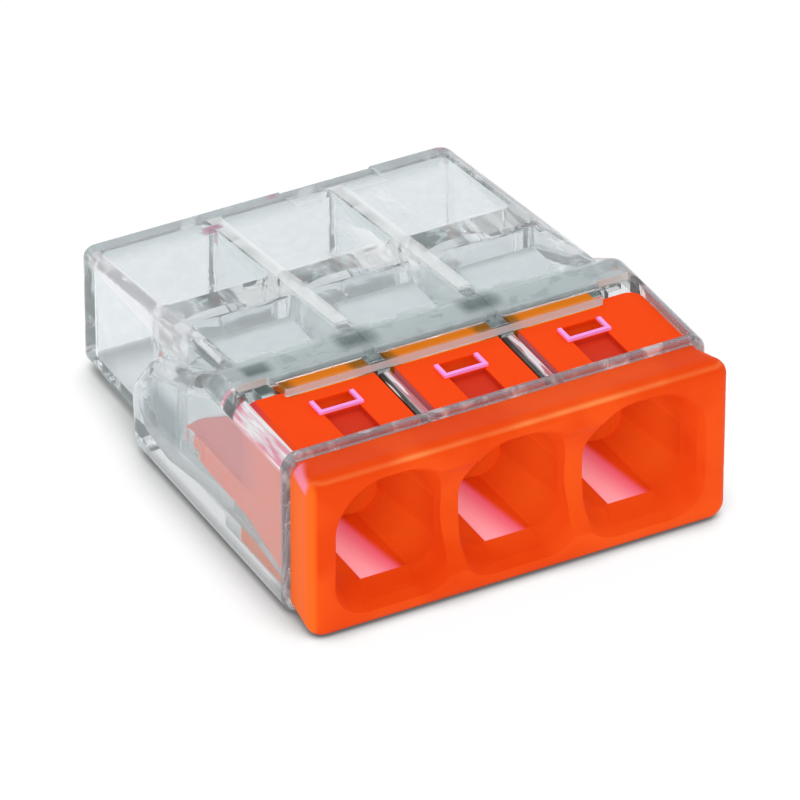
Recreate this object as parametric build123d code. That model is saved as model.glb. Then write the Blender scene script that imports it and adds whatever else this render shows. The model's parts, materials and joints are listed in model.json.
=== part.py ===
"""Three-way push-in wire connector: clear housing, orange front cover, copper busbar and leaf springs.

Millimetres. +X runs along the row of wire entries, +Y from the entries to the closed end, +Z up.
The origin is the bottom centre of the bounding box. Depths are measured from the cover's front face.
"""

import os
from math import asin, atan2, cos, degrees, hypot, radians, sin

from build123d import *

# Driving dimensions
WIDTH = 14.1
LENGTH = 16.5
HEIGHT = 5.6
POLE_PITCH = 4.15
POLES = (-POLE_PITCH, 0.0, POLE_PITCH)
WALL = 0.42
ROOF = 0.32
RUNNING_GAP = 0.03
OVERLAP = 0.2

# Clear housing
RIM_DEPTH = 1.6
RIM_STRIP = 0.2
RIM_ROUND = 0.12
COLLAR_END = 6.5
CHEEK_END = 11.9
CHEEK_OUTLINE = ((COLLAR_END, HEIGHT), (8.3, 4.6), (10.8, 3.6), (CHEEK_END, 2.2))
CHEEK_OUTLINE += ((CHEEK_END - 0.15, 0.35), (CHEEK_END - 0.6, 0))
CHEEK_ROUNDS = (0.5, 1.6, 0.9, 1.2, 0.4, 0.4)
EDGE_ROUND = 0.55
BLOCK_HALF = 6.34
BLOCK_START = 6.9
BLOCK_BOTTOM = 0.25
BLOCK_TOP_FRONT = 5.5
BLOCK_TOP_REAR = 4.25
BLOCK_CORNER = 0.5
BLOCK_EDGE = 0.32
RIB = 0.4
RIB_TOP = 5.2
SIDE_INNER = WIDTH / 2 - WALL
ROOF_UNDERSIDE = 5.33
ROOM_END = COLLAR_END - 0.5
SIDE_STEP = ((RIM_DEPTH, 1.0), (3.6, 1.3))
CHAMBER_FLOOR = 0.7
CHAMBER_HALF = 5.8
ROOM_CORNER = 0.3
REAR_HALF = BLOCK_HALF - WALL
THROAT = (10.1, 11.55)
THROAT_SIZE = (2.4, CHAMBER_FLOOR, 3.1)
THROAT_CORNER = (1.0, 0.2)
REAR_INNER = LENGTH - 0.65
DIP_SPAN = (0.4, 3.6)
DIP_LENGTH = 1.4
DIP_DROP = 0.2
WINDOW_END = 4.75
NOTCH_END = 5.6
NOTCH_INNER = 5.3
NOTCH_SLANT = 0.25
POCKET_INNER = 6.2
POCKET_OUTLINE = ((ROOM_END - 0.3, 1.3), (7.0, 1.25), (9.4, 0.85), (10.9, 1.05), (11.45, 1.75), (11.4, 2.3))
POCKET_OUTLINE += ((10.5, 3.15), (8.2, 3.95), (6.4, 4.75), (ROOM_END - 0.3, 4.75))
CATCH_RECESS = (7.2, 7.95)
CATCH_RECESS_HEIGHT = (2.15, 2.85)
CATCH_RECESS_SINK = 0.2
CATCH_CLEARANCE = 0.08
CATCH_RISE = 0.15

# Orange front cover
PLATE_FRONT = (WIDTH - 0.02, -0.03, 5.68)
PLATE_REAR = (WIDTH - 0.42, 0.05, 5.34)
PLATE_CORNER = 0.55
PLATE_EDGE = 0.38
GUIDE_TOP = 5.3
GUIDE_BOTTOM = 0.5
GUIDE_END = 5.05
GUIDE_HALF = 1.74
GUIDE_WAIST = 6.14
GUIDE_ROUND = 0.45
TONGUE_HALF = 5.2
TONGUE_END = 5.72
TONGUE_BOTTOM = 5.07
MOUTH = (4.11, 0.52, 5.12)
MOUTH_CORNER = (1.75, 1.15)
LEAD_DEPTH = 0.28
LEAD = (3.78, 0.72, 4.9)
LEAD_CORNER = (1.6, 1.05)
SADDLE_DEPTH = 0.7
SADDLE_RISE = 1.9
SADDLE_HALF = 0.6
STEP_DEPTH = 0.95
STEP = (3.4, 1.05, 4.6)
STEP_CORNER = (1.45, 0.9)
TUNNEL_END = 4.05
TUNNEL = (2.9, 1.05, 4.35)
TUNNEL_CORNER = (1.25, 0.7)
CONE_RADIUS = 1.33
BORE_RADIUS = 1.0
BORE_START = 4.4
WIRE_AXIS_HEIGHT = 2.2
SLOT_WIDTH = 1.2
SLOT = (3.6, 4.25)
CHANNEL_DROP = 0.16
LIP = 0.13
LIP_HEIGHT = 0.1
WING = (6.28, SIDE_INNER - RUNNING_GAP)
WING_START = GUIDE_END - 0.65
WING_END = 8.25
WING_LOWER = ((RIM_DEPTH, 1.12), (4.3, 1.87), (6.8, 1.95), (WING_END, 2.15))
WING_UPPER = ((WING_END, 2.75), (7.7, 3.25), (5.8, 4.45), (WING_START, 4.5))
WING_RIDGE = 2.8
WING_ROUND = 0.22

# Busbar
BAR_HALF = 5.75
BAR_THICK = 0.4
BAR_FRONT = 5.3
RAIL_TOP = 1.15
RAIL_END = 9.75
FLANGE_TOP = 5.02
FLANGE_END = 7.0
BAR_WINDOW = (2.9, RAIL_TOP - 0.02, FLANGE_TOP - BAR_THICK - 0.25)
BAR_WINDOW_CORNER = (0.5, 0.05)
BITE_DEPTH = 8.9
BITE_RADIUS = 0.2
BITE_WIDTH = 2.4
BITE_RISE = 0.08

# Leaf springs
SPRING_THICK = 0.22
SPRING_WIDTH = 2.7
TIP_WIDTH = 2.1
TIP_TAPER = 1.2
BEND_INNER = 0.38
BEND_DEPTH = 6.55
ANCHOR_END = 9.3
BLADE_SLOPE = 46.0
SPLIT_HALF_ANGLE = 2.0
TIP_CLEARANCE = 0.04
LARGEST_WIRE = 1.78

FRONT = -LENGTH / 2
ANCHOR_TOP = FLANGE_TOP - BAR_THICK - RUNNING_GAP
BEND_HEIGHT = ANCHOR_TOP - SPRING_THICK - BEND_INNER
BEND_MIDDLE = BEND_INNER + SPRING_THICK / 2


def side_plane(x):
    """Plane across X whose local axes are depth and height."""
    return Plane(origin=(x, FRONT, 0), x_dir=(0, 1, 0), z_dir=(1, 0, 0))


def plan_plane(z):
    """Horizontal plane whose local axes are X and depth."""
    return Plane(origin=(0, FRONT, z), x_dir=(1, 0, 0), z_dir=(0, 0, 1))


def front_plane(depth):
    """Upright plane at a depth, whose local axes are X and height, facing the wires."""
    return Plane(origin=(0, FRONT + depth, 0), x_dir=(1, 0, 0), z_dir=(0, -1, 0))


def block(x_span, depth_span, z_span):
    """Box between two values on each axis."""
    spans = (x_span, depth_span, z_span)
    size = [high - low for low, high in spans]
    x, depth, z = [(low + high) / 2 for low, high in spans]
    return Pos(x, FRONT + depth, z) * Box(*size)


def prism(outline, half_width):
    """Closed side outline of (depth, height) points, extruded to both sides of the centre plane."""
    face = make_face(Polyline(*outline, close=True))
    return extrude(side_plane(-half_width) * face, 2 * half_width)


def rounded_opening(centre, size, corners):
    """Face with its own radius for the two top and the two bottom corners. size is (width, bottom, top)."""
    width, bottom, top = size
    top_radius, bottom_radius = corners
    face = Pos(centre, (bottom + top) / 2) * Rectangle(width, top - bottom)
    by_height = face.vertices().sort_by(Axis.Y)
    face = fillet(by_height[2:], top_radius)
    low = face.vertices().sort_by(Axis.Y)[:2]
    return fillet(low, bottom_radius)


def roof_height(depth):
    """Height of the rear block's sloping top at a depth."""
    fall = (BLOCK_TOP_FRONT - BLOCK_TOP_REAR) / (LENGTH - BLOCK_START)
    return BLOCK_TOP_FRONT - fall * (depth - BLOCK_START)


def edges_on_side(solid, half_width):
    """Edges that lie in the two flat side faces at plus and minus half_width."""
    return [e for e in solid.edges() if abs(abs(e.center().X) - half_width) < 1e-4]


# Clear housing


def collar():
    """Full-width front part, whose side cheeks sweep down and back along the rear block."""
    outline = Polyline((RIM_DEPTH, 0), (RIM_DEPTH, HEIGHT), *CHEEK_OUTLINE, close=True)
    face = make_face(outline)
    for corner, radius in zip(CHEEK_OUTLINE, CHEEK_ROUNDS):
        vertex = min(face.vertices(), key=lambda v: hypot(v.X - corner[0], v.Y - corner[1]))
        face = fillet(vertex, radius)
    body = extrude(side_plane(-WIDTH / 2) * face, WIDTH)
    long_edges = [
        e for e in edges_on_side(body, WIDTH / 2) if e.center().Y > FRONT + RIM_DEPTH + 0.01
    ]
    body = fillet(long_edges, EDGE_ROUND)
    rim = body.faces().sort_by(Axis.Y)[0]
    return fillet(rim.edges(), RIM_ROUND)


def rear_block():
    """Narrower block behind the collar, with a top that slopes down to the closed end."""
    start = COLLAR_END - OVERLAP
    outline = [
        (start, BLOCK_BOTTOM),
        (start, roof_height(start)),
        (LENGTH, BLOCK_TOP_REAR),
        (LENGTH, BLOCK_BOTTOM),
    ]
    body = prism(outline, BLOCK_HALF)
    upright = [e for e in body.edges().filter_by(Axis.Z) if e.center().Y > LENGTH / 2 - 0.01]
    body = fillet(upright, BLOCK_CORNER)
    rim = [
        e
        for e in body.edges()
        if e.center().Y > FRONT + start + 0.01 and not e.is_closed and abs(e.tangent_at(0.5).Z) < 0.9
    ]
    return fillet(rim, BLOCK_EDGE)


def pole_span(pole, inner_half):
    """X span of one pole's room between the ribs, closed by the side wall on the outer poles."""
    low = max(pole - POLE_PITCH / 2 + RIB / 2, -inner_half)
    high = min(pole + POLE_PITCH / 2 - RIB / 2, inner_half)
    if pole < 0:
        low = -inner_half
    if pole > 0:
        high = inner_half
    return low, high


def chamber_cut(span, depth_span, roof):
    """Room under the sloping roof, from one depth to another."""
    start, end = depth_span
    outline = [
        (start, CHAMBER_FLOOR),
        (start, roof_height(start) - roof),
        (end, roof_height(end) - roof),
        (end, CHAMBER_FLOOR),
    ]
    face = make_face(Polyline(*outline, close=True))
    room = extrude(side_plane(span[0]) * face, span[1] - span[0])
    return fillet(room.edges().filter_by(Axis.Z), ROOM_CORNER)


def guide_room(pole):
    """Room round one guide of the cover. On the outer poles a step in the floor follows the wall."""
    low, high = pole_span(pole, SIDE_INNER)
    floor = GUIDE_BOTTOM - RUNNING_GAP
    room = block((low, high), (0, ROOM_END), (floor, ROOF_UNDERSIDE))
    rear = ROOM_END + 1
    step = [(0, 0), (0, SIDE_STEP[0][1]), *SIDE_STEP, (rear, SIDE_STEP[-1][1]), (rear, 0)]
    face = make_face(Polyline(*step, close=True))
    for side in (-1, 1):
        near, far = sorted((side * (GUIDE_WAIST + RUNNING_GAP), side * WIDTH))
        room -= extrude(side_plane(near) * face, far - near)
    return room


def housing_rooms():
    """Everything that is hollow in the housing, pole by pole."""
    rooms = []
    for pole in POLES:
        rooms.append(guide_room(pole))
        rooms.append(chamber_cut(pole_span(pole, CHAMBER_HALF), (ROOM_END - 0.5, THROAT[0]), ROOF))
        rooms.append(chamber_cut(pole_span(pole, REAR_HALF), (THROAT[1], REAR_INNER), ROOF))
        throat = rounded_opening(pole, THROAT_SIZE, THROAT_CORNER)
        rooms.append(extrude(front_plane(THROAT[1] + OVERLAP) * throat, THROAT[1] - THROAT[0] + 2 * OVERLAP))
    return rooms


def top_window():
    """Opening in the collar's top over the cover, with a deeper notch at each end."""
    outline = [
        (-SIDE_INNER, RIM_DEPTH + RIM_STRIP),
        (SIDE_INNER, RIM_DEPTH + RIM_STRIP),
        (SIDE_INNER, NOTCH_END),
        (NOTCH_INNER + NOTCH_SLANT, NOTCH_END),
        (NOTCH_INNER, WINDOW_END),
        (-NOTCH_INNER, WINDOW_END),
        (-NOTCH_INNER - NOTCH_SLANT, NOTCH_END),
        (-SIDE_INNER, NOTCH_END),
    ]
    face = make_face(Polyline(*outline, close=True))
    return extrude(plan_plane(RIB_TOP) * face, HEIGHT)


def wing_pockets():
    """Hollow in each cheek for a latch wing, with a catch recess in the outer wall."""
    pockets = []
    face = make_face(Polyline(*POCKET_OUTLINE, close=True))
    rear = [v for v in face.vertices() if v.X > ROOM_END]
    face = fillet(rear, ROOM_CORNER)
    for side in (-1, 1):
        near, far = sorted((side * POCKET_INNER, side * SIDE_INNER))
        pockets.append(extrude(side_plane(near) * face, far - near))
        recess = sorted((side * POCKET_INNER, side * (SIDE_INNER + CATCH_RECESS_SINK)))
        pockets.append(block(recess, CATCH_RECESS, CATCH_RECESS_HEIGHT))
    return pockets


def bar_profile(grow):
    """Side outline of the bent busbar, grown by a clearance: rail, front web and top flange."""
    low = RAIL_TOP - BAR_THICK - grow
    return [
        (BAR_FRONT - grow, low),
        (RAIL_END + grow, low),
        (RAIL_END + grow, RAIL_TOP + grow),
        (BAR_FRONT + BAR_THICK + grow, RAIL_TOP + grow),
        (BAR_FRONT + BAR_THICK + grow, FLANGE_TOP - BAR_THICK - grow),
        (FLANGE_END + grow, FLANGE_TOP - BAR_THICK - grow),
        (FLANGE_END + grow, FLANGE_TOP + grow),
        (BAR_FRONT - grow, FLANGE_TOP + grow),
    ]


def rear_dip():
    """Shallow wedge that is missing from part of the rear block's top rear edge."""
    start, end = LENGTH - DIP_LENGTH, LENGTH + 0.1
    outline = [(start, roof_height(start)), (end, BLOCK_TOP_REAR - DIP_DROP), (end, HEIGHT), (start, HEIGHT)]
    face = make_face(Polyline(*outline, close=True))
    return extrude(side_plane(DIP_SPAN[0]) * face, DIP_SPAN[1] - DIP_SPAN[0])


def clear_housing():
    """One clear moulding: collar, cheeks, rear block, ribs, throats and chambers."""
    body = collar() + rear_block()
    body -= rear_dip()
    for room in housing_rooms() + wing_pockets():
        body -= room
    body -= top_window()
    body -= prism(bar_profile(RUNNING_GAP), BAR_HALF + RUNNING_GAP)
    return body


# Orange front cover


def plate():
    """Front plate: it flares towards the wires, and its front edge is rounded."""
    faces = []
    for depth, (width, bottom, top) in ((0, PLATE_FRONT), (RIM_DEPTH, PLATE_REAR)):
        outline = RectangleRounded(width, top - bottom, PLATE_CORNER)
        faces.append(front_plane(depth) * Pos(0, (bottom + top) / 2) * outline)
    body = loft(Sketch() + faces)
    front_face = body.faces().sort_by(Axis.Y)[0]
    return fillet(front_face.edges(), PLATE_EDGE)


def guide(pole):
    """Guide block of one pole, behind the plate, with a thin tongue over the busbar's front edge."""
    low, high = pole - GUIDE_HALF, pole + GUIDE_HALF
    outer = SIDE_INNER - RUNNING_GAP
    if pole < 0:
        low = -outer
    if pole > 0:
        high = outer
    body = block((low, high), (RIM_DEPTH - 0.3, GUIDE_END), (GUIDE_BOTTOM, GUIDE_TOP))
    rear = [e for e in body.edges().filter_by(Axis.Z) if e.center().Y > FRONT + GUIDE_END - 0.01]
    outer_rear = [e for e in rear if abs(abs(e.center().X) - outer) < 0.01]
    if outer_rear:
        body = fillet(outer_rear, GUIDE_ROUND)
    tongue_span = (max(low, -TONGUE_HALF), min(high, TONGUE_HALF))
    body += block(tongue_span, (GUIDE_END - OVERLAP, TONGUE_END), (TONGUE_BOTTOM, GUIDE_TOP))
    return body


def side_relief(side):
    """What is cut away beside a guide's foot, under the side plate that carries a latch wing."""
    rear = GUIDE_END + 1
    outline = [(RIM_DEPTH, 0), *WING_LOWER[:2], (rear, WING_LOWER[2][1]), (rear, 0)]
    face = make_face(Polyline(*outline, close=True))
    near, far = sorted((side * GUIDE_WAIST, side * WIDTH))
    return extrude(side_plane(near) * face, far - near)


def wire_path(pole):
    """Funnel mouth, step, tapering tunnel, cone and round bore that lead one wire in."""
    mouth = front_plane(0) * rounded_opening(pole, MOUTH, MOUTH_CORNER)
    lead = front_plane(LEAD_DEPTH) * rounded_opening(pole, LEAD, LEAD_CORNER)
    step = front_plane(STEP_DEPTH) * rounded_opening(pole, STEP, STEP_CORNER)
    tunnel_end = front_plane(TUNNEL_END) * rounded_opening(pole, TUNNEL, TUNNEL_CORNER)
    funnel = loft(Sketch() + [mouth, lead, step], ruled=True)
    tunnel = loft(Sketch() + [step, tunnel_end])
    bore_face = Pos(pole, WIRE_AXIS_HEIGHT) * Circle(BORE_RADIUS)
    cone_face = Pos(pole, WIRE_AXIS_HEIGHT) * Circle(CONE_RADIUS)
    cone = loft(Sketch() + [front_plane(TUNNEL_END - 0.02) * cone_face, front_plane(BORE_START) * bore_face])
    bore = extrude(front_plane(BORE_START - 0.01) * bore_face, -(GUIDE_END - BORE_START + 0.02))
    return funnel + tunnel + cone + bore


def saddle(middle):
    """Round scoop that sets back the ridge between two mouths, deepest at half height."""
    radius = (SADDLE_RISE**2 + SADDLE_DEPTH**2) / (2 * SADDLE_DEPTH)
    scoop = Rotation(0, 90, 0) * Cylinder(radius, 2 * SADDLE_HALF)
    height = (MOUTH[1] + MOUTH[2]) / 2
    return Pos(middle, FRONT + SADDLE_DEPTH - radius, height) * scoop


def test_slot(pole):
    """Tester slot through a guide's top, with the sunken channel that leads to it."""
    span = (pole - SLOT_WIDTH / 2, pole + SLOT_WIDTH / 2)
    slot = block(span, SLOT, (TUNNEL[2] - 0.6, GUIDE_TOP + 1))
    channel = block(span, (RIM_DEPTH + RIM_STRIP, SLOT[0] - LIP), (GUIDE_TOP - CHANNEL_DROP, GUIDE_TOP + 1))
    return slot + channel


def slot_lip(pole):
    """Raised rim round the front and the two ends of a tester slot."""
    half = SLOT_WIDTH / 2
    outer = block(
        (pole - half - LIP, pole + half + LIP),
        (SLOT[0] - LIP, SLOT[1] - 0.1),
        (GUIDE_TOP - 0.1, GUIDE_TOP + LIP_HEIGHT),
    )
    return outer - block((pole - half, pole + half), SLOT, (GUIDE_TOP - 1, GUIDE_TOP + 1))


def wing(side):
    """Latch wing that runs back inside a cheek, with a ridge along it and a catch near its end."""
    lower = [(WING_START, WING_LOWER[1][1]), *WING_LOWER[2:]]
    face = make_face(Polyline(*lower, *WING_UPPER, close=True))
    rear = [v for v in face.vertices() if v.X > CATCH_RECESS[0]]
    face = fillet(rear, WING_ROUND)
    inner, outer = sorted((side * WING[0], side * WING[1]))
    body = extrude(side_plane(inner) * face, outer - inner)
    recess = sorted((side * (WING[1] - 0.1), side * WIDTH))
    body -= block(recess, (WING_START, WING_END + 1), (WING_RIDGE, HEIGHT))
    start, end = CATCH_RECESS[0] + CATCH_CLEARANCE, CATCH_RECESS[1] - CATCH_CLEARANCE
    catch = [(WING[0], start), (WING[1] + CATCH_RISE, start), (WING[1], end), (WING[0], end)]
    catch_face = make_face(Polyline(*[(side * x, depth) for x, depth in catch], close=True))
    bottom, top = CATCH_RECESS_HEIGHT
    height = top - bottom - 2 * CATCH_CLEARANCE
    return body + extrude(plan_plane(bottom + CATCH_CLEARANCE) * catch_face, height)


def front_cover():
    """One orange moulding: plate, three guides, tester slots and latch wings."""
    body = plate()
    for pole in POLES:
        body += guide(pole)
    for side in (-1, 1):
        body -= side_relief(side)
        body += wing(side)
    for pole in POLES:
        body -= wire_path(pole)
    for middle in (-POLE_PITCH / 2, POLE_PITCH / 2):
        body -= saddle(middle)
    for pole in POLES:
        body -= test_slot(pole)
        body += slot_lip(pole)
    return body


# Contact set


def busbar():
    """Tinned copper channel: a rail under the wires, a web with one window a pole, and a top flange."""
    body = prism(bar_profile(0), BAR_HALF)
    bends = [
        e
        for e in body.edges().filter_by(Axis.X)
        if abs(e.center().Y - FRONT - BAR_FRONT) < 0.01
    ]
    body = fillet(bends, BAR_THICK * 0.8)
    for pole in POLES:
        window = rounded_opening(pole, BAR_WINDOW, BAR_WINDOW_CORNER)
        body -= extrude(front_plane(BAR_FRONT - OVERLAP) * window, -(BAR_THICK + 2 * OVERLAP))
        ridge = Rotation(0, 90, 0) * Cylinder(BITE_RADIUS, BITE_WIDTH)
        body += Pos(pole, FRONT + BITE_DEPTH, RAIL_TOP + BITE_RISE - BITE_RADIUS) * ridge
    return body


def ring_sector(inner, outer, start, end):
    """Face between two radii and two angles, in degrees, about the local origin."""
    points = []
    for radius in (inner, outer):
        arc = [(radius * cos(radians(a)), radius * sin(radians(a))) for a in (start, (start + end) / 2, end)]
        points.append(arc)
    inside, outside = points
    edges = [
        ThreePointArc(*inside),
        Line(inside[2], outside[2]),
        ThreePointArc(*outside),
        Line(outside[0], inside[0]),
    ]
    return make_face(edges)


def spring_arc(start, end):
    """Part of the spring's bend, as a side face in depth and height."""
    sector = ring_sector(BEND_INNER, BEND_INNER + SPRING_THICK, start, end)
    return Pos(BEND_DEPTH, BEND_HEIGHT) * sector


def spring_anchor(pole):
    """Fixed leg under the busbar's flange, with the fixed half of the bend."""
    leg = [
        (BEND_DEPTH, ANCHOR_TOP - SPRING_THICK),
        (BEND_DEPTH, ANCHOR_TOP),
        (ANCHOR_END, ANCHOR_TOP),
        (ANCHOR_END, ANCHOR_TOP - SPRING_THICK),
    ]
    face = make_face(Polyline(*leg, close=True)) + spring_arc(90, 180 - SPLIT_HALF_ANGLE)
    return extrude(side_plane(pole - SPRING_WIDTH / 2) * face, SPRING_WIDTH)


def blade_length():
    """Straight length that brings the tip just above the rail."""
    slope = radians(BLADE_SLOPE)
    start_height = BEND_HEIGHT - BEND_MIDDLE * cos(slope)
    lowest = RAIL_TOP + TIP_CLEARANCE + SPRING_THICK / 2 * cos(slope)
    return (start_height - lowest) / sin(slope)


def spring_blade(pole):
    """Moving leg that slopes down to the rail and narrows to its biting edge."""
    slope = radians(BLADE_SLOPE)
    along = (cos(slope), -sin(slope))
    across = (-sin(slope), -cos(slope))
    length = blade_length()
    near = [
        (BEND_DEPTH + across[0] * r, BEND_HEIGHT + across[1] * r)
        for r in (BEND_INNER, BEND_INNER + SPRING_THICK)
    ]
    far = [(d + along[0] * length, z + along[1] * length) for d, z in near]
    strip = make_face(Polyline(near[0], near[1], far[1], far[0], close=True))
    face = strip + spring_arc(180 + SPLIT_HALF_ANGLE, 270 - BLADE_SLOPE)
    body = extrude(side_plane(pole - SPRING_WIDTH / 2) * face, SPRING_WIDTH)
    trim = (SPRING_WIDTH - TIP_WIDTH) / 2
    for side in (-1, 1):
        edge = pole + side * SPRING_WIDTH / 2
        tip_depth = far[1][0] + OVERLAP
        start_depth = tip_depth - OVERLAP - TIP_TAPER
        corners = [(edge, start_depth), (edge + side, start_depth)]
        corners += [(edge + side, tip_depth), (edge - side * trim, tip_depth)]
        taper = make_face(Polyline(*corners, close=True))
        body -= extrude(plan_plane(0) * taper, HEIGHT)
    return body


def lift_angle():
    """Degrees that the largest wire lifts the blade."""
    slope = radians(BLADE_SLOPE)
    length = blade_length()
    reach = BEND_INNER + SPRING_THICK
    tip = (-sin(slope) * reach + cos(slope) * length, -cos(slope) * reach - sin(slope) * length)
    radius = hypot(*tip)
    rest = atan2(tip[1], tip[0])
    lifted = asin((RAIL_TOP + LARGEST_WIRE - BEND_HEIGHT) / radius)
    return degrees(lifted - rest)


def main():
    os.makedirs("parts", exist_ok=True)
    pieces = {
        "clear_housing": clear_housing(),
        "front_cover": front_cover(),
        "busbar": busbar(),
    }
    for number, pole in enumerate(POLES, start=1):
        pieces[f"spring_anchor_{number}"] = spring_anchor(pole)
        pieces[f"spring_blade_{number}"] = spring_blade(pole)
    for name, piece in pieces.items():
        export_step(piece, f"parts/{name}.step")
    print("blade hinge:", BEND_DEPTH + FRONT, BEND_HEIGHT, "lift:", round(lift_angle(), 2), "degrees")


main()
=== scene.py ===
"""Looks for a three-way push-in wire connector: clear housing, orange cover, tinned busbar, leaf springs."""

import json
from math import cos, pi, radians, sin

import bmesh
import bpy
from mathutils import Euler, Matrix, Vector

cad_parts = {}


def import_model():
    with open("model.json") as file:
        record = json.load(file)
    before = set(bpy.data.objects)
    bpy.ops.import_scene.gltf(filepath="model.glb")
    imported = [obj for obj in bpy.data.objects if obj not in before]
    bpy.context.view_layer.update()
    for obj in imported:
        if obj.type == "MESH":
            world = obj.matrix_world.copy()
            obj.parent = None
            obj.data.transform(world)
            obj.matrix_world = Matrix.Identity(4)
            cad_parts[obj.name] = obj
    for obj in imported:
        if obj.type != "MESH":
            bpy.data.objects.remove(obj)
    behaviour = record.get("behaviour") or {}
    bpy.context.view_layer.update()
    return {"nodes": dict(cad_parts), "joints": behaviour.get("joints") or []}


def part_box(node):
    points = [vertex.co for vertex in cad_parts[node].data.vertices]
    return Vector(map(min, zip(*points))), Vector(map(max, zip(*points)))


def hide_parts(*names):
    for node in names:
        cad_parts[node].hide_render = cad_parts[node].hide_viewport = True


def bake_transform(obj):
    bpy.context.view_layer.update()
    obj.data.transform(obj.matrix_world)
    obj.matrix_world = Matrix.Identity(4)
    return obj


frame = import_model()

MM = 0.001
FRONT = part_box("front_cover")[0].y
POLES = [joint["pos_m"][0] for joint in frame["joints"]]
HINGE = Vector(frame["joints"][0]["pos_m"])

# Leaf springs
STRIP_THICK = 0.22 * MM
BLADE_SLOPE = radians(46)
LEG_STEPS = 6
BEND_STEPS = 28
BLADE_STEPS = 12
TAPER_STEPS = 5
TIP_SHARE = 0.78
EDGE_INSET = 0.3
EDGE_HALF = 0.45

# Depths behind the cover's front face, and heights, both in millimetres
STEP_DEPTH = 0.95
RIM_DEPTH = 1.6
WINDOW_END = 4.75
BAND_START = 5.6
THROAT = (10.1, 11.55)
GROOVE_HEIGHT = (4.6, 5.27)
ROOF_FROM = 5.0
REAR_ROOF_FROM = 3.9
REAR_EDGE_FROM = 3.6

# Rounded edges of the CAD pieces
CLEAR_EDGE = 0.03 * MM
COVER_EDGE = 0.06 * MM
EDGE_SEGMENTS = 2
EDGE_ANGLE = radians(40)
WELD_DISTANCE = 0.0005 * MM
NORMAL_WEIGHT = 80

# Studio
FLOOR_HALF = 1.2
SHADOW_REACH = 2.4 * MM
FLOOR_GLOW = 1.04
DOME_STRENGTH = 0.82
LAMPS = {
    "key": {"place": (0.15, 0.12, 0.3), "size": 0.12, "power": 0.12},
    "fill": {"place": (-0.16, -0.26, 0.12), "size": 0.2, "power": 0.22},
}
CAMERA_AZIMUTH = radians(-28.132)
CAMERA_ELEVATION = radians(33.717)
CAMERA_ROLL = radians(0.106)
CAMERA_DISTANCE = 276.317 * MM
CAMERA_TARGET = Vector((-0.443, -1.445, 2.5)) * MM
SENSOR_WIDTH = 36
LENS = 416.24
LIGHT_BOUNCES = 24


# Node-tree helpers


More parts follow.
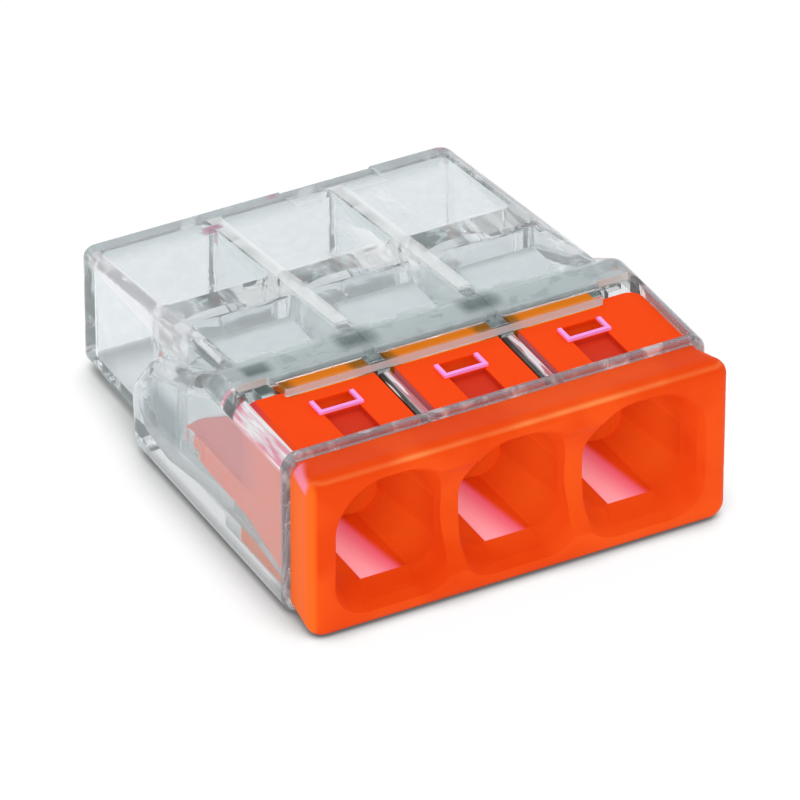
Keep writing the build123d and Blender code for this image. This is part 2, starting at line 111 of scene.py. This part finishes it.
class Shader:
    """A material's node tree, with one short call for each kind of node it needs."""

    def __init__(self, name):
        self.material = bpy.data.materials.new(name)
        self.material.use_nodes = True
        self.tree = self.material.node_tree
        self.tree.nodes.clear()
        self.out = self.tree.nodes.new("ShaderNodeOutputMaterial")
        self.place = self.tree.nodes.new("ShaderNodeTexCoord").outputs["Object"]
        separate = self.tree.nodes.new("ShaderNodeSeparateXYZ")
        self.tree.links.new(self.place, separate.inputs[0])
        self.x, self.y, self.z = separate.outputs

    def set(self, socket, value):
        """Links a socket, or sets its default value."""
        if isinstance(value, bpy.types.NodeSocket):
            self.tree.links.new(value, socket)
        else:
            socket.default_value = value

    def math(self, operation, a, b=0.0, clamp=False):
        node = self.tree.nodes.new("ShaderNodeMath")
        node.operation = operation
        node.use_clamp = clamp
        self.set(node.inputs[0], a)
        self.set(node.inputs[1], b)
        return node.outputs[0]

    def product(self, *factors):
        """Product of any number of masks."""
        result = factors[0]
        for factor in factors[1:]:
            result = self.math("MULTIPLY", result, factor)
        return result

    def ramp(self, value, low, high):
        """0 below low, 1 above high, smooth between them."""
        node = self.tree.nodes.new("ShaderNodeMapRange")
        node.interpolation_type = "SMOOTHSTEP"
        self.set(node.inputs["Value"], value)
        self.set(node.inputs["From Min"], low)
        self.set(node.inputs["From Max"], high)
        return node.outputs[0]

    def within(self, value, low, high, soft):
        """1 between low and high, with soft edges."""
        rise = self.ramp(value, low - soft, low + soft)
        fall = self.ramp(value, high + soft, high - soft)
        return self.math("MULTIPLY", rise, fall)

    def noise(self, size, detail=3.0, stretch=(1, 1, 1), distortion=0.0):
        """Noise whose features are about size metres, stretched along an axis by a smaller scale."""
        mapping = self.tree.nodes.new("ShaderNodeMapping")
        mapping.inputs["Scale"].default_value = stretch
        self.tree.links.new(self.place, mapping.inputs["Vector"])
        node = self.tree.nodes.new("ShaderNodeTexNoise")
        self.tree.links.new(mapping.outputs[0], node.inputs["Vector"])
        node.inputs["Scale"].default_value = 1 / size
        node.inputs["Detail"].default_value = detail
        node.inputs["Distortion"].default_value = distortion
        return node.outputs["Fac"]

    def mix(self, mask, base, over):
        """Colour base, with over laid on it by a mask."""
        node = self.tree.nodes.new("ShaderNodeMix")
        node.data_type = "RGBA"
        self.set(node.inputs["Factor"], mask)
        self.set(node.inputs["A"], base)
        self.set(node.inputs["B"], over)
        return node.outputs["Result"]

    def between(self, mask, low, high):
        """Number that goes from low to high as the mask goes from 0 to 1."""
        node = self.tree.nodes.new("ShaderNodeMapRange")
        self.set(node.inputs["Value"], mask)
        self.set(node.inputs["To Min"], low)
        self.set(node.inputs["To Max"], high)
        return node.outputs[0]

    def number_mix(self, mask, base, over):
        """Number base, with over laid on it by a mask."""
        node = self.tree.nodes.new("ShaderNodeMix")
        self.set(node.inputs["Factor"], mask)
        self.set(node.inputs["A"], base)
        self.set(node.inputs["B"], over)
        return node.outputs["Result"]

    def bump(self, height, distance, strength=1.0):
        node = self.tree.nodes.new("ShaderNodeBump")
        node.inputs["Distance"].default_value = distance
        node.inputs["Strength"].default_value = strength
        self.set(node.inputs["Height"], height)
        return node.outputs[0]

    def normal_part(self, axis):
        """One component of the surface normal: 0, 1 or 2 for X, Y or Z."""
        geometry = self.tree.nodes.new("ShaderNodeNewGeometry")
        separate = self.tree.nodes.new("ShaderNodeSeparateXYZ")
        self.tree.links.new(geometry.outputs["Normal"], separate.inputs[0])
        return separate.outputs[axis]

    def principled(self, **values):
        node = self.tree.nodes.new("ShaderNodeBsdfPrincipled")
        for name, value in values.items():
            self.set(node.inputs[name.replace("_", " ")], value)
        return node.outputs[0]

    def blend_shaders(self, share, first, second):
        """Shader first, giving way to second by a share."""
        node = self.tree.nodes.new("ShaderNodeMixShader")
        self.set(node.inputs[0], share)
        self.set(node.inputs[1], first)
        self.set(node.inputs[2], second)
        return node.outputs[0]

    def finish(self, surface):
        self.tree.links.new(surface, self.out.inputs["Surface"])
        return self.material


def colour(code):
    """Linear colour from a plain hexadecimal one."""
    channels = [int(code[i : i + 2], 16) / 255 for i in (0, 2, 4)]
    linear = [c / 12.92 if c <= 0.04045 else ((c + 0.055) / 1.055) ** 2.4 for c in channels]
    return (*linear, 1.0)


def depth_of(value):
    """Row-frame Y of a depth in millimetres behind the cover's front face."""
    return FRONT + value * MM


# Materials


def depth_within(s, start, end, soft=0.03):
    """Mask for a stretch of depth behind the cover's front face, in millimetres."""
    return s.within(s.y, depth_of(start), depth_of(end), soft * MM)


def height_above(s, height, soft=0.03):
    """Mask for everything above a height, in millimetres."""
    return s.ramp(s.z, (height - soft) * MM, (height + soft) * MM)


def each_pole(s, low, high, soft=0.03):
    """Mask for the same stretch of X, in millimetres, beside every pole's middle."""
    total = 0.0
    for pole in POLES:
        total = s.math("ADD", total, s.within(s.x, pole + low * MM, pole + high * MM, soft * MM))
    return total


def each_pole_offset(s):
    """Distance in X from the nearest pole's middle, negative on its left."""
    pitch = POLES[1] - POLES[0]
    turns = s.math("DIVIDE", s.x, pitch)
    return s.math("MULTIPLY", s.math("SUBTRACT", turns, s.math("ROUND", turns)), pitch)


def rib_beside(s, low, high, soft=0.03):
    """Mask for a stretch of X, in millimetres, beside the middle of each rib between two poles."""
    total = 0.0
    for left, right in zip(POLES, POLES[1:]):
        rib = (left + right) / 2
        total = s.math("ADD", total, s.within(s.x, rib + low * MM, rib + high * MM, soft * MM))
    return total


def roof_band(s, cloud):
    """Mask for the milky band over the busbar, with a wandering rear edge."""
    wander = s.math("MULTIPLY", s.math("SUBTRACT", cloud, 0.5), 1.6 * MM)
    band_y = s.math("ADD", s.y, wander)
    start = s.ramp(s.y, depth_of(5.4), depth_of(5.8))
    end = s.ramp(band_y, depth_of(7.1), depth_of(6.7))
    return s.product(start, end, height_above(s, 5.0))


def rear_milk_and_glare(s):
    """Milky ribs, throat wall, side tops and rear edge, with painted glare round the second rib."""
    rear_roof = s.product(s.ramp(s.y, depth_of(7.2), depth_of(7.6)), height_above(s, REAR_ROOF_FROM, 0.2))
    throat_wall = s.product(depth_within(s, *THROAT, 0.05), rear_roof)
    shine = s.noise(1.5 * MM, detail=2.0, stretch=(1, 0.35, 1), distortion=0.8)
    # Painted glare: white patches on the roof round the second rib.
    glare = s.product(
        s.within(s.x, 0.9 * MM, 3.1 * MM, 0.5 * MM),
        depth_within(s, 9.4, 15.2, 0.6),
        s.ramp(shine, 0.46, 0.58),
        rear_roof,
    )
    ribs = s.product(rib_beside(s, -0.24, 0.24), rear_roof)
    sides = s.math("SUBTRACT", 1.0, s.within(s.x, -5.95 * MM, 5.95 * MM, 0.05 * MM))
    behind_collar = s.ramp(s.y, depth_of(8.5), depth_of(9.5))
    side_tops = s.product(sides, behind_collar, height_above(s, REAR_ROOF_FROM, 0.2))
    rear_end = s.product(
        s.ramp(s.y, depth_of(15.75), depth_of(15.9)), height_above(s, REAR_EDGE_FROM, 0.3)
    )
    return (
        (throat_wall, colour("F2F5F7"), s.between(s.ramp(shine, 0.4, 0.6), 0.08, 0.34)),
        (glare, colour("FFFFFF"), 0.6),
        (ribs, colour("FAFCFE"), 0.5),
        (side_tops, colour("F4F2F6"), 0.45),
        (rear_end, colour("BCC6CA"), 0.45),
    )


def left_wall_milk_and_shade(s):
    """Pale foot of the left wall, and painted grey shade in the pocket inside it."""
    foot = s.product(s.ramp(s.x, -6.3 * MM, -6.4 * MM), s.ramp(s.z, 0.8 * MM, 0.6 * MM))
    # Painted shade at the pocket's rear end.
    pocket = s.product(
        s.ramp(s.x, -6.5 * MM, -6.6 * MM),
        depth_within(s, 8.3, 10.6, 0.5),
        s.within(s.z, 1.5 * MM, 3.3 * MM, 0.5 * MM),
    )
    return (
        (foot, colour("CED4D6"), 0.4),
        (pocket, colour("75858A"), 0.45),
    )


def band_darkening(s):
    """Darker patches on the band beside the ribs, and painted shade in the window's left corner."""
    near_ribs = s.product(
        rib_beside(s, -0.75, 0.45, 0.25), depth_within(s, 5.9, 6.8, 0.25), height_above(s, ROOF_FROM)
    )
    # Painted shade in the dark notch at the window's left corner.
    notch_shade = s.product(
        s.within(s.x, -6.1 * MM, -5.2 * MM, 0.2 * MM),
        depth_within(s, 5.85, 6.4, 0.12),
        height_above(s, ROOF_FROM),
    )
    return (
        (near_ribs, colour("5C6B6C"), 0.5),
        (notch_shade, colour("5C6B6C"), 0.75),
    )


def collar_milk_glare_and_shade(s, smudge):
    """Streaked collar walls with painted glare on the left wall's top, front rim, window edge, and the ribs
    between the cover's panels with painted shadow and painted glints.
    """
    streak = s.noise(0.16 * MM, detail=2.0, stretch=(1, 0.08, 1))
    glint = s.ramp(streak, 0.53, 0.58)
    pink_glare_streak = s.ramp(streak, 0.48, 0.42)
    wall = s.product(depth_within(s, RIM_DEPTH, BAND_START), height_above(s, ROOF_FROM, 0.1))
    # Painted glare: white and pink streaks along the left collar wall's top.
    left_top_glare = s.product(s.ramp(s.x, -6.6 * MM, -6.66 * MM), wall)
    right_top = s.product(s.ramp(s.x, 6.6 * MM, 6.66 * MM), wall)
    rim = s.ramp(s.y, depth_of(1.84), depth_of(1.8))
    upright = s.ramp(s.math("ABSOLUTE", s.normal_part(2)), 0.6, 0.3)
    window_edge = s.product(upright, depth_within(s, 4.7, 5.65), height_above(s, 5.35, 0.01))
    rib_height = s.within(s.z, ROOF_FROM * MM, 5.25 * MM, 0.03 * MM)
    rib_top = s.product(depth_within(s, 1.9, WINDOW_END), rib_height)
    left_glare_colour = s.mix(glint, s.mix(pink_glare_streak, colour("F4DCE4"), colour("F09AB0")), colour("FFFFFF"))
    rim_colour = s.mix(smudge, colour("8C8890"), colour("D2D4DA"))
    # Painted shadow flecked with painted glints on each rib's left half; painted pink light with glints on
    # its right half.
    rib_shadow_and_glints = s.mix(s.ramp(streak, 0.6, 0.64), colour("120C0C"), colour("E8ECEE"))
    rib_glint = s.mix(glint, colour("D0707C"), colour("FFF0F6"))
    return (
        (left_top_glare, left_glare_colour, 0.75),
        (right_top, colour("A597A4"), 0.6),
        (rim, rim_colour, 0.5),
        (window_edge, colour("D2D8D6"), 0.8),
        (s.product(rib_top, rib_beside(s, -0.3, -0.04)), rib_shadow_and_glints, 0.9),
        (s.product(rib_top, rib_beside(s, -0.02, 0.3)), rib_glint, 0.8),
    )


def rear_marks(s):
    """Small magenta marks at the top rear edge."""
    left_mark = s.product(
        s.within(s.x, -2.75 * MM, -2.1 * MM, 0.1 * MM),
        depth_within(s, 15.1, 15.4, 0.06),
        height_above(s, REAR_EDGE_FROM),
    )
    edge_marks = s.product(
        s.math("ADD", s.within(s.x, -0.1 * MM, 0.3 * MM, 0.15 * MM), s.ramp(s.x, 5.6 * MM, 6.0 * MM)),
        depth_within(s, 16.0, 16.3, 0.1),
        height_above(s, REAR_EDGE_FROM),
    )
    return (
        (left_mark, colour("A8487A"), 0.6),
        (edge_marks, colour("C08CA4"), 0.5),
    )


def milk_and_painted_light_areas(s, cloud):
    """Where the clear plastic looks milky or carries painted glare, glints and shade, as (mask, colour,
    share) rows. Later rows win.
    """
    smudge = s.ramp(cloud, 0.5, 0.62)
    band = (roof_band(s, cloud), s.mix(smudge, colour("B8C3C5"), colour("A2AEB0")), 0.6)
    return (
        band,
        *rear_milk_and_glare(s),
        *left_wall_milk_and_shade(s),
        *band_darkening(s),
        *collar_milk_glare_and_shade(s, smudge),
        *rear_marks(s),
    )


def edge_highlight_plastic():
    """The rounded edges of the clear moulding, painted white in flecks as highlights, which show as thin
    white lines.
    """
    s = Shader("clear_edge_highlights")
    fleck = s.noise(0.35 * MM, detail=3.0)
    # Painted highlight: white patches on the rounded edges.
    tone = s.mix(fleck, colour("FFFFFF"), colour("E2E8EE"))
    line = s.principled(Base_Color=tone, Roughness=0.15)
    glass = s.principled(Base_Color=colour("F6F8FA"), Roughness=0.02, IOR=1.38, Transmission_Weight=1.0)
    body = s.blend_shaders(s.between(s.ramp(fleck, 0.35, 0.6), 0.4, 0.8), glass, line)
    return s.finish(let_light_through(s, body))


def let_light_through(s, body):
    """Shader body, replaced by a clear one for shadow and diffuse rays so that the inside isn't dark."""
    light = s.tree.nodes.new("ShaderNodeLightPath")
    unseen = s.math("MAXIMUM", light.outputs["Is Shadow Ray"], light.outputs["Is Diffuse Ray"])
    clear = s.tree.nodes.new("ShaderNodeBsdfTransparent")
    clear.inputs[0].default_value = colour("F4F8F7")
    return s.blend_shaders(unseen, body, clear.outputs[0])


def clear_plastic():
    """Clear polycarbonate: faint grey body, milky areas with painted glare, glints and shade, and a ripple
    from the mould.
    """
    s = Shader("clear_plastic")
    ripple = s.noise(2.2 * MM, detail=2.0, distortion=0.4)
    cloud = s.noise(0.8 * MM, detail=3.0, distortion=0.8)
    haze = s.noise(0.5 * MM, detail=4.0)
    tongue_window = s.product(depth_within(s, 4.82, 5.45, 0.08), height_above(s, 5.0))
    glass = s.principled(
        Base_Color=s.mix(haze, colour("FAFBFC"), colour("EEF2F4")),
        Roughness=s.between(haze, 0.0, 0.04),
        IOR=s.number_mix(tongue_window, 1.38, 1.08),
        Transmission_Weight=1.0,
        Normal=s.bump(ripple, 0.03 * MM, 0.8),
    )
    milk_and_painted_colour = colour("E6ECF0")
    milk_and_painted_share = s.between(haze, 0.02, 0.12)
    for mask, tone, share in milk_and_painted_light_areas(s, cloud):
        milk_and_painted_colour = s.mix(mask, milk_and_painted_colour, tone)
        milk_and_painted_share = s.number_mix(mask, milk_and_painted_share, share)
    milk_and_painted_share = s.number_mix(tongue_window, milk_and_painted_share, 0.0)
    milk = s.principled(Base_Color=milk_and_painted_colour, Roughness=0.3)
    material = s.finish(let_light_through(s, s.blend_shaders(milk_and_painted_share, glass, milk)))
    volume = s.tree.nodes.new("ShaderNodeVolumeAbsorption")
    volume.inputs["Color"].default_value = colour("A8B8BE")
    volume.inputs["Density"].default_value = 18.0
    s.tree.links.new(volume.outputs[0], s.out.inputs["Volume"])
    return material


def funnel_floor(s):
    """Mask and colour for the painted rosy light on each funnel's floor, which narrows towards the wire
    stop.
    """
    across = each_pole_offset(s)
    inward = s.math("MULTIPLY", s.math("SUBTRACT", s.y, depth_of(STEP_DEPTH)), 0.13)
    slant = s.math("ADD", across, inward)
    left = s.ramp(across, -0.76 * MM, -0.7 * MM)
    right = s.ramp(slant, 0.72 * MM, 0.4 * MM)
    start = s.ramp(s.y, depth_of(STEP_DEPTH - 0.02), depth_of(STEP_DEPTH + 0.01))
    mask = s.product(left, right, start, s.within(s.z, 0.9 * MM, 1.3 * MM, 0.05 * MM))
    grain = s.noise(0.05 * MM, detail=2.0)
    shade = s.math("ADD", s.ramp(slant, 0.6 * MM, -0.5 * MM), s.math("MULTIPLY", grain, 0.3))
    shade = s.math("SUBTRACT", shade, 0.15, clamp=True)
    return mask, s.mix(shade, colour("E4708A"), colour("F6B6C2"))


def plate_highlights(s, patchy):
    """Painted light on the front plate: a lighter left side, a highlight along the top front edge, and a
    rosy highlight on the top left corner.
    """
    on_plate = s.ramp(s.y, depth_of(RIM_DEPTH), depth_of(1.5))
    # Painted light: the left side of the plate lighter.
    lit_plate_side = s.product(s.ramp(s.x, -6.72 * MM, -6.9 * MM), on_plate)
    # Painted highlight along the rounded top front edge.
    front_edge_highlight = s.product(
        s.within(s.z, 5.4 * MM, 5.5 * MM, 0.05 * MM), s.ramp(s.y, depth_of(0.35), depth_of(0.25))
    )
    # Painted highlight: rosy patch on the rounded top left corner.
    corner = s.product(
        s.ramp(s.x, -6.35 * MM, -6.6 * MM),
        s.within(s.z, 5.05 * MM, 5.35 * MM, 0.08 * MM),
        depth_within(s, 0.35, 1.5, 0.1),
    )
    return (
        (lit_plate_side, colour("FF6C22")),
        (s.product(front_edge_highlight, s.between(patchy, 0.25, 0.7)), colour("FF9C58")),
        (s.product(corner, 0.8), colour("FF94B4")),
    )


def wing_tones(s, behind_plate):
    """Redder left wing, which is seen through the clear wall."""
    left_side = s.ramp(s.x, -6.2 * MM, -6.3 * MM)
    upper_half = s.ramp(s.z, 2.75 * MM, 2.85 * MM)
    wing = s.product(left_side, behind_plate)
    wing_top = s.product(left_side, depth_within(s, 4.2, 9.0, 0.8), upper_half)
    return (
        (s.product(wing, 0.8), colour("F04A20")),
        (s.product(wing_top, 0.7), colour("C83A4C")),
    )


def panel_tones(s):
    """Painted shade in the grooves before the slots, a painted pink sheen on the panel flanks, the amber
    tongue with painted shade at its ends, and painted pink highlights on the slots' lips.
    """
    groove_height = s.within(s.z, GROOVE_HEIGHT[0] * MM, GROOVE_HEIGHT[1] * MM, 0.02 * MM)
    # Painted shade: darker red in the sunken grooves.
    channel_shade = s.product(each_pole(s, -0.62, 0.62, 0.02), depth_within(s, 1.75, 3.5, 0.02), groove_height)
    # Painted sheen: pink on the panels' left flanks.
    flank_sheen = s.product(each_pole(s, -1.8, -1.72, 0.01), depth_within(s, 1.9, 4.7), groove_height)
    tongue = s.product(
        s.ramp(s.y, depth_of(4.72), depth_of(4.76)),
        s.within(s.x, -5.2 * MM, 5.2 * MM, 0.03 * MM),
        height_above(s, ROOF_FROM),
    )
    # Painted shade where the tongue meets the ribs and at its left end.
    tongue_end_shade = s.math("MAXIMUM", rib_beside(s, -0.85, 0.6, 0.15), s.ramp(s.x, -4.7 * MM, -5.1 * MM))
    # Painted highlight: pink on the slots' lips.
    lip_highlight = s.product(each_pole(s, -0.8, 0.8), depth_within(s, 3.4, 4.2), height_above(s, 5.31, 0.01))
    return (
        (channel_shade, colour("D83820")),
        (flank_sheen, colour("DE7A86")),
        (tongue, s.mix(tongue_end_shade, colour("FF8400"), colour("A8640C"))),
        (lip_highlight, colour("FFA6F0")),
    )


def orange_tones_and_painted_light(s, cloud):
    """Where the orange moulding differs in tone or carries painted light and shade, as (mask, colour) rows.
    Later rows win.
    """
    # Painted light: lighter orange inside the funnels, past the front face.
    inside = s.product(s.ramp(s.y, depth_of(0.3), depth_of(2.4)), s.ramp(s.z, 5.2 * MM, 5.0 * MM))
    behind_plate = s.ramp(s.y, depth_of(1.7), depth_of(1.75))
    panel_top = s.product(height_above(s, 5.25, 0.02), behind_plate)
    return (
        (inside, colour("FF7424")),
        (panel_top, colour("FF4A0A")),
        *plate_highlights(s, s.ramp(cloud, 0.4, 0.6)),
        *wing_tones(s, behind_plate),
        *panel_tones(s),
    )


def orange_plastic():
    """Satin orange moulding: fine grain, soft tone changes, painted light and shade, and painted rosy
    highlights on slot lips and funnel floors.
    """
    s = Shader("orange_plastic")
    cloud = s.noise(3.0 * MM, detail=2.0)
    grain = s.noise(0.06 * MM, detail=3.0)
    base = s.mix(s.ramp(cloud, 0.4, 0.62), colour("EC4710"), colour("F55418"))
    for mask, tone in orange_tones_and_painted_light(s, cloud):
        base = s.mix(mask, base, tone)
    floor_light_mask, floor_light_colour = funnel_floor(s)
    surface = s.principled(
        Base_Color=s.mix(floor_light_mask, base, floor_light_colour),
        Roughness=s.between(cloud, 0.42, 0.55),
        Specular_IOR_Level=0.06,
        Specular_Tint=colour("FFA060"),
        # Painted glow: the funnel floors give off rosy light of their own.
        Emission_Color=floor_light_colour,
        Emission_Strength=s.math("MULTIPLY", floor_light_mask, 0.36),
        Normal=s.bump(grain, 0.004 * MM, 0.5),
    )
    return s.finish(surface)


def tinned_copper():
    """Tin plate: drawn lines along the bar and cloudy grey tarnish."""
    s = Shader("tinned_copper")
    lines = s.noise(0.12 * MM, detail=4.0, stretch=(0.08, 1, 1))
    cloud = s.noise(1.2 * MM, detail=3.0, distortion=0.6)
    base = s.mix(cloud, colour("CAD4D4"), colour("A0AEB0"))
    surface = s.principled(
        Base_Color=base,
        Metallic=1.0,
        Roughness=s.between(lines, 0.22, 0.42),
        Normal=s.bump(lines, 0.003 * MM, 0.5),
    )
    return s.finish(surface)


def spring_steel():
    """Rolled spring strip: bright, with fine lines along its length and cloudy handling marks."""
    s = Shader("spring_steel")
    lines = s.noise(0.1 * MM, detail=4.0, stretch=(1, 0.1, 0.1))
    cloud = s.noise(0.9 * MM, detail=3.0)
    base = s.mix(cloud, colour("F6F9FA"), colour("E2E8EA"))
    surface = s.principled(
        Base_Color=base,
        Metallic=0.45,
        Roughness=s.between(lines, 0.12, 0.3),
        Normal=s.bump(lines, 0.003 * MM, 0.4),
    )
    return s.finish(surface)


# CAD nodes that stay


def dress(node, material, edge, edge_material=None):
    """Gives a CAD node its material, and small rounded edges where edge is a width above 0."""
    piece = frame["nodes"][node]
    piece.data.materials.clear()
    piece.data.materials.append(material)
    if edge_material:
        piece.data.materials.append(edge_material)
    weld = piece.modifiers.new("weld", "WELD")
    weld.merge_threshold = WELD_DISTANCE
    if edge:
        bevel = piece.modifiers.new("edges", "BEVEL")
        bevel.width = edge
        bevel.segments = EDGE_SEGMENTS
        bevel.limit_method = "ANGLE"
        bevel.angle_limit = EDGE_ANGLE
        bevel.use_clamp_overlap = True
        bevel.material = 1 if edge_material else -1
    weigh_normals(piece)


def weigh_normals(piece):
    """Lets large faces set the shading, so that they look flat beside small rounded edges."""
    normals = piece.modifiers.new("normals", "WEIGHTED_NORMAL")
    normals.keep_sharp = True
    normals.weight = NORMAL_WEIGHT


# Leaf springs


def strip_path():
    """Middle line of a spring in its side view, as (y, z) points: leg, bend, then sloping blade."""
    anchor_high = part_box("spring_anchor_1")[1]
    blade_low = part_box("spring_blade_1")[0]
    radius = anchor_high.z - HINGE.z - STRIP_THICK / 2
    points = []
    for step in range(LEG_STEPS):
        y = anchor_high.y + (HINGE.y - anchor_high.y) * step / LEG_STEPS
        points.append((y, HINGE.z + radius))
    end = 3 * pi / 2 - BLADE_SLOPE
    for step in range(BEND_STEPS + 1):
        angle = pi / 2 + (end - pi / 2) * step / BEND_STEPS
        points.append((HINGE.y + radius * cos(angle), HINGE.z + radius * sin(angle)))
    start_y, start_z = points[-1]
    tip_z = blade_low.z + STRIP_THICK / 2 * cos(BLADE_SLOPE)
    length = (start_z - tip_z) / sin(BLADE_SLOPE)
    for step in range(1, BLADE_STEPS + 1):
        run = length * step / BLADE_STEPS
        points.append((start_y + run * cos(BLADE_SLOPE), start_z - run * sin(BLADE_SLOPE)))
    return points


def strip_ring(middle, across, width):
    """Outline of the strip at one point of its path: a flat section with chamfered edges."""
    side = Vector((width, 0, 0))
    inset = Vector((STRIP_THICK * EDGE_INSET, 0, 0))
    return (
        middle - side + across * EDGE_HALF,
        middle - side + inset + across,
        middle + side - inset + across,
        middle + side + across * EDGE_HALF,
        middle + side - across * EDGE_HALF,
        middle + side - inset - across,
        middle - side + inset - across,
        middle - side - across * EDGE_HALF,
    )


def strip_mesh(name, pole, half):
    """Mesh of one bent strip that narrows over its last steps."""
    path = strip_path()
    last = len(path) - 1
    mesh = bmesh.new()
    rings = []
    for index, (y, z) in enumerate(path):
        before = path[max(index - 1, 0)]
        after = path[min(index + 1, last)]
        along = Vector((0, after[0] - before[0], after[1] - before[1])).normalized()
        across = Vector((0, -along.z, along.y)) * STRIP_THICK / 2
        share = max(0, index - last + TAPER_STEPS) / TAPER_STEPS
        width = half + (half * TIP_SHARE - half) * share
        ring = strip_ring(Vector((pole, y, z)), across, width)
        rings.append([mesh.verts.new(point) for point in ring])
    for ring, following in zip(rings, rings[1:]):
        for index in range(len(ring)):
            after = (index + 1) % len(ring)
            mesh.faces.new((ring[index], ring[after], following[after], following[index]))
    mesh.faces.new(rings[0][::-1])
    mesh.faces.new(rings[-1])
    bmesh.ops.recalc_face_normals(mesh, faces=mesh.faces)
    for face in mesh.faces:
        face.smooth = True
    return mesh_data(name, mesh)


def mesh_data(name, mesh):
    """Turns a finished bmesh into mesh data."""
    data = bpy.data.meshes.new(name)
    mesh.to_mesh(data)
    mesh.free()
    return data


def leaf_spring(number, pole, material):
    """One strip, in place of the hidden anchor and blade parts: leg above its bend, blade below it."""
    low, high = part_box(f"spring_blade_{number}")
    data = strip_mesh(f"spring_{number}", pole, (high.x - low.x) / 2)
    piece = bpy.data.objects.new(f"spring_{number}", data)
    bpy.context.scene.collection.objects.link(piece)
    data.materials.append(material)
    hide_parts(f"spring_anchor_{number}", f"spring_blade_{number}")
    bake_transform(piece)
    piece.modifiers.new("normals", "WEIGHTED_NORMAL")


# Studio


def floor_paper():
    """Glowing white paper with a painted shadow where the connector stands close to it, and painted light
    beneath the connector.
    """
    s = Shader("floor_paper")
    occlusion = s.tree.nodes.new("ShaderNodeAmbientOcclusion")
    occlusion.samples = 16
    occlusion.inputs["Distance"].default_value = SHADOW_REACH
    unshadowed_share = s.ramp(occlusion.outputs["AO"], 0.2, 0.8)
    # Painted light: the painted shadow is lifted beneath the connector.
    beneath = s.product(
        s.within(s.x, -5.8 * MM, 5.8 * MM, 0.6 * MM),
        s.within(s.y, depth_of(3), depth_of(15.6), 0.8 * MM),
    )
    unshadowed_share = s.math("MAXIMUM", unshadowed_share, s.math("MULTIPLY", beneath, 0.7))
    speckle = s.noise(0.4 * MM)
    paper = s.mix(speckle, colour("FDFDFD"), colour("FAFAFA"))
    matte = s.principled(Base_Color=paper, Roughness=0.9)
    glow = s.tree.nodes.new("ShaderNodeEmission")
    # Painted shadow: grey glow where the connector stands close.
    s.set(glow.inputs["Color"], s.mix(unshadowed_share, colour("585A5B"), colour("FFFFFF")))
    glow.inputs["Strength"].default_value = FLOOR_GLOW
    return s.finish(s.blend_shaders(0.9, matte, glow.outputs[0]))


def floor():
    """White floor with a soft painted shadow close to the connector, and painted light beneath it."""
    mesh = bmesh.new()
    corners = [(-1, -1), (1, -1), (1, 1), (-1, 1)]
    mesh.faces.new([mesh.verts.new((x * FLOOR_HALF, y * FLOOR_HALF, 0)) for x, y in corners])
    data = mesh_data("floor", mesh)
    data.materials.append(floor_paper())
    piece = bpy.data.objects.new("floor", data)
    bpy.context.scene.collection.objects.link(piece)


def world():
    """Bright studio dome, darker near the horizon so that clear plastic shows its edges."""
    scene_world = bpy.data.worlds.new("studio")
    scene_world.use_nodes = True
    bpy.context.scene.world = scene_world
    tree = scene_world.node_tree
    background = tree.nodes["Background"]
    place = tree.nodes.new("ShaderNodeTexCoord")
    separate = tree.nodes.new("ShaderNodeSeparateXYZ")
    tree.links.new(place.outputs["Generated"], separate.inputs[0])
    ramp = tree.nodes.new("ShaderNodeValToRGB")
    tree.links.new(separate.outputs[2], ramp.inputs[0])
    ramp.color_ramp.elements[0].position = 0.05
    ramp.color_ramp.elements[0].color = (0.84, 0.85, 0.86, 1)
    ramp.color_ramp.elements[1].position = 0.4
    ramp.color_ramp.elements[1].color = (1, 1, 1, 1)
    tree.links.new(ramp.outputs[0], background.inputs[0])
    background.inputs[1].default_value = DOME_STRENGTH


def lamp(name, place, size, power):
    """Square area lamp aimed at the connector."""
    data = bpy.data.lights.new(name, "AREA")
    data.size = size
    data.energy = power
    piece = bpy.data.objects.new(name, data)
    bpy.context.scene.collection.objects.link(piece)
    piece.location = place
    aim = Vector((0, 0, 0.002)) - Vector(place)
    piece.rotation_euler = aim.to_track_quat("-Z", "Y").to_euler()


def camera():
    """Long lens from the front left, above the connector."""
    data = bpy.data.cameras.new("camera")
    data.sensor_width = SENSOR_WIDTH
    data.lens = LENS
    data.clip_start = 0.01
    piece = bpy.data.objects.new("camera", data)
    bpy.context.scene.collection.objects.link(piece)
    level = cos(CAMERA_ELEVATION)
    back = Vector(
        (sin(CAMERA_AZIMUTH) * level, -cos(CAMERA_AZIMUTH) * level, sin(CAMERA_ELEVATION))
    )
    piece.location = CAMERA_TARGET + back * CAMERA_DISTANCE
    turn = back.to_track_quat("Z", "Y").to_matrix()
    piece.rotation_euler = (turn @ Euler((0, 0, CAMERA_ROLL)).to_matrix()).to_euler()
    bpy.context.scene.camera = piece


def render_settings():
    """Plain colours, and enough light bounces to see through both sides of the clear moulding."""
    scene = bpy.context.scene
    scene.view_settings.view_transform = "Standard"
    scene.cycles.use_denoising = True
    scene.cycles.max_bounces = LIGHT_BOUNCES
    scene.cycles.transmission_bounces = LIGHT_BOUNCES
    scene.cycles.transparent_max_bounces = LIGHT_BOUNCES


def main():
    steel = spring_steel()
    dress("clear_housing", clear_plastic(), CLEAR_EDGE, edge_highlight_plastic())
    dress("front_cover", orange_plastic(), COVER_EDGE)
    dress("busbar", tinned_copper(), 0)
    for number, pole in enumerate(POLES, start=1):
        leaf_spring(number, pole, steel)
    floor()
    world()
    for name, values in LAMPS.items():
        lamp(name, **values)
    camera()
    render_settings()


main()
